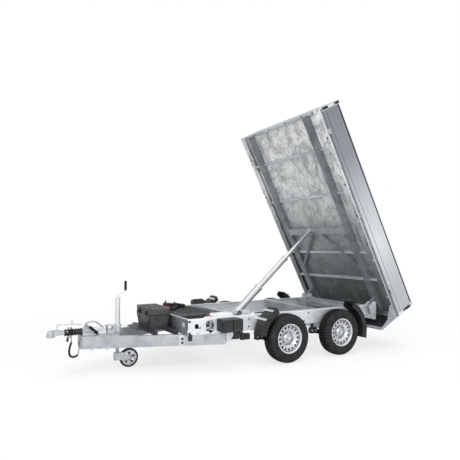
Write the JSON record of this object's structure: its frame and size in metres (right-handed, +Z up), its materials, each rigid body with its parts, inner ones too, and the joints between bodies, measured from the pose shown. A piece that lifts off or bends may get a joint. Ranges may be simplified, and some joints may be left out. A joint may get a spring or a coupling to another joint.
{
  "type": "tipper trailer",
  "caption": "Tandem-axle three-way tipper trailer with a galvanised frame, aluminium dropsides and a telescopic cylinder, its bed tipped up to the rear.",
  "frame": {"origin": "on the ground under the middle of the whole trailer's length and width", "axes": "+X forward to the coupling, +Y to the trailer's left, +Z up"},
  "size_m": [5.1967, 2.12, 3.6209],
  "materials": {
    "tyre": "matt black rubber",
    "rim_steel": "silver paint",
    "panel_aluminium": "anodised, fine long grooves",
    "black_plastic": "grained black",
    "cable_rubber": "matt black",
    "cylinder_steel": "light grey paint and chromed stages",
    "floor_steel": "hot-dip galvanised with spangle",
    "galvanised_steel": "hot-dip galvanised with spangle"
  },
  "bodies": {
    "chassis": {"axles": "galvanised_steel", "cable": "cable_rubber", "cable_plug": "cable_rubber", "coupling_bellows": "black_plastic", "coupling_head": "galvanised_steel", "coupling_lever": "galvanised_steel", "cross_members": "galvanised_steel", "cylinder_cradle": "galvanised_steel", "drawbar_brackets": "galvanised_steel", "drawbar_left": "galvanised_steel", "drawbar_nose": "galvanised_steel", "drawbar_plate": "galvanised_steel", "drawbar_right": "galvanised_steel", "handbrake_lever": "galvanised_steel", "hinge_brackets": "galvanised_steel", "jockey_clamp": "galvanised_steel", "jockey_tube": "galvanised_steel", "mudguard_stays": "galvanised_steel", "mudguards": "black_plastic", "overrun_housing": "galvanised_steel", "power_unit": "black_plastic", "side_box": "black_plastic", "side_member_left": "galvanised_steel", "side_member_right": "galvanised_steel", "toolbox": "black_plastic", "unit_rails": "galvanised_steel"},
    "bed": {"bed_floor": "floor_steel", "side_rails": "galvanised_steel", "bed_longitudinals": "galvanised_steel", "bed_cross_members": "galvanised_steel", "bed_main_member": "galvanised_steel", "bed_braces": "galvanised_steel", "rear_skirt": "galvanised_steel", "corner_posts": "galvanised_steel", "headboard": "panel_aluminium", "rear_lamps": "black_plastic", "side_latches": "black_plastic"},
    "dropside_left": {"dropside_left": "panel_aluminium"},
    "dropside_right": {"dropside_right": "panel_aluminium"},
    "tailgate": {"tailgate": "panel_aluminium"},
    "toolbox_lid": {"toolbox_lid": "black_plastic"},
    "cylinder_barrel": {"cylinder_barrel": "cylinder_steel"},
    "cylinder_stage_2": {"cylinder_stage_2": "cylinder_steel"},
    "cylinder_stage_3": {"cylinder_stage_3": "cylinder_steel"},
    "jockey_leg": {"jockey_leg": "galvanised_steel"},
    "jockey_fork": {"jockey_fork": "galvanised_steel"},
    "jockey_wheel": {"jockey_tyre": "tyre", "jockey_rim": "rim_steel"},
    "wheel_front_left": {"tyre_front_left": "tyre", "rim_front_left": "rim_steel"},
    "wheel_front_right": {"tyre_front_right": "tyre", "rim_front_right": "rim_steel"},
    "wheel_rear_left": {"tyre_rear_left": "tyre", "rim_rear_left": "rim_steel"},
    "wheel_rear_right": {"tyre_rear_right": "tyre", "rim_rear_right": "rim_steel"}
  },
  "joints": [
    {"name": "bed_tip", "type": "hinge", "parent": "chassis", "child": "bed", "pos_m": [-2.004, 0, 0.682], "axis": [0, 1, 0], "range_deg": [0, 63]},
    {"name": "cylinder_gimbal", "type": "hinge", "parent": "chassis", "child": "cylinder_barrel", "pos_m": [-0.021, 0, 0.582], "axis": [0, -1, 0], "range_deg": [0, 33.75]},
    {"name": "cylinder_slide_2", "type": "slide", "parent": "cylinder_barrel", "child": "cylinder_stage_2", "axis": [-0.7516, 0, 0.6597], "range_m": [-0.5776, 0]},
    {"name": "cylinder_slide_3", "type": "slide", "parent": "cylinder_stage_2", "child": "cylinder_stage_3", "axis": [-0.7516, 0, 0.6597], "range_m": [-0.5776, 0]},
    {"name": "dropside_left_hinge", "type": "hinge", "parent": "bed", "child": "dropside_left", "pos_m": [-2.27778, 1.045, 0.4949], "axis": [-0.454, 0, -0.891], "range_deg": [0, 180]},
    {"name": "dropside_right_hinge", "type": "hinge", "parent": "bed", "child": "dropside_right", "pos_m": [-2.27778, -1.045, 0.4949], "axis": [0.454, 0, 0.891], "range_deg": [0, 180]},
    {"name": "tailgate_hinge", "type": "hinge", "parent": "bed", "child": "tailgate", "pos_m": [-2.56808, 0, 0.66526], "axis": [0, 1, 0], "range_deg": [0, 100]},
    {"name": "toolbox_lid_hinge", "type": "hinge", "parent": "chassis", "child": "toolbox_lid", "pos_m": [1.117, 0, 0.702], "axis": [0, -1, 0], "range_deg": [0, 85]},
    {"name": "jockey_height", "type": "slide", "parent": "chassis", "child": "jockey_leg", "axis": [0, 0, 1], "range_m": [-0.15, 0.062]},
    {"name": "jockey_swivel", "type": "hinge", "parent": "jockey_leg", "child": "jockey_fork", "pos_m": [1.74, 0, 0.198], "axis": [0, 0, 1], "continuous": true},
    {"name": "jockey_spin", "type": "hinge", "parent": "jockey_fork", "child": "jockey_wheel", "pos_m": [1.59, 0, 0.12], "axis": [0, 1, 0], "continuous": true},
    {"name": "roll_front_left", "type": "hinge", "parent": "chassis", "child": "wheel_front_left", "pos_m": [-0.313, 0.837, 0.325], "axis": [0, 1, 0], "continuous": true},
    {"name": "roll_front_right", "type": "hinge", "parent": "chassis", "child": "wheel_front_right", "pos_m": [-0.313, -0.837, 0.325], "axis": [0, 1, 0], "continuous": true},
    {"name": "roll_rear_left", "type": "hinge", "parent": "chassis", "child": "wheel_rear_left", "pos_m": [-1.241, 0.837, 0.325], "axis": [0, 1, 0], "continuous": true},
    {"name": "roll_rear_right", "type": "hinge", "parent": "chassis", "child": "wheel_rear_right", "pos_m": [-1.241, -0.837, 0.325], "axis": [0, 1, 0], "continuous": true}
  ],
  "couplings": [
    {"joint": "cylinder_gimbal", "follows": "bed_tip", "ratio": 0.52933},
    {"joint": "cylinder_slide_2", "follows": "bed_tip", "m_per_rad": -0.52344},
    {"joint": "cylinder_slide_3", "follows": "bed_tip", "m_per_rad": -0.52344}
  ]
}
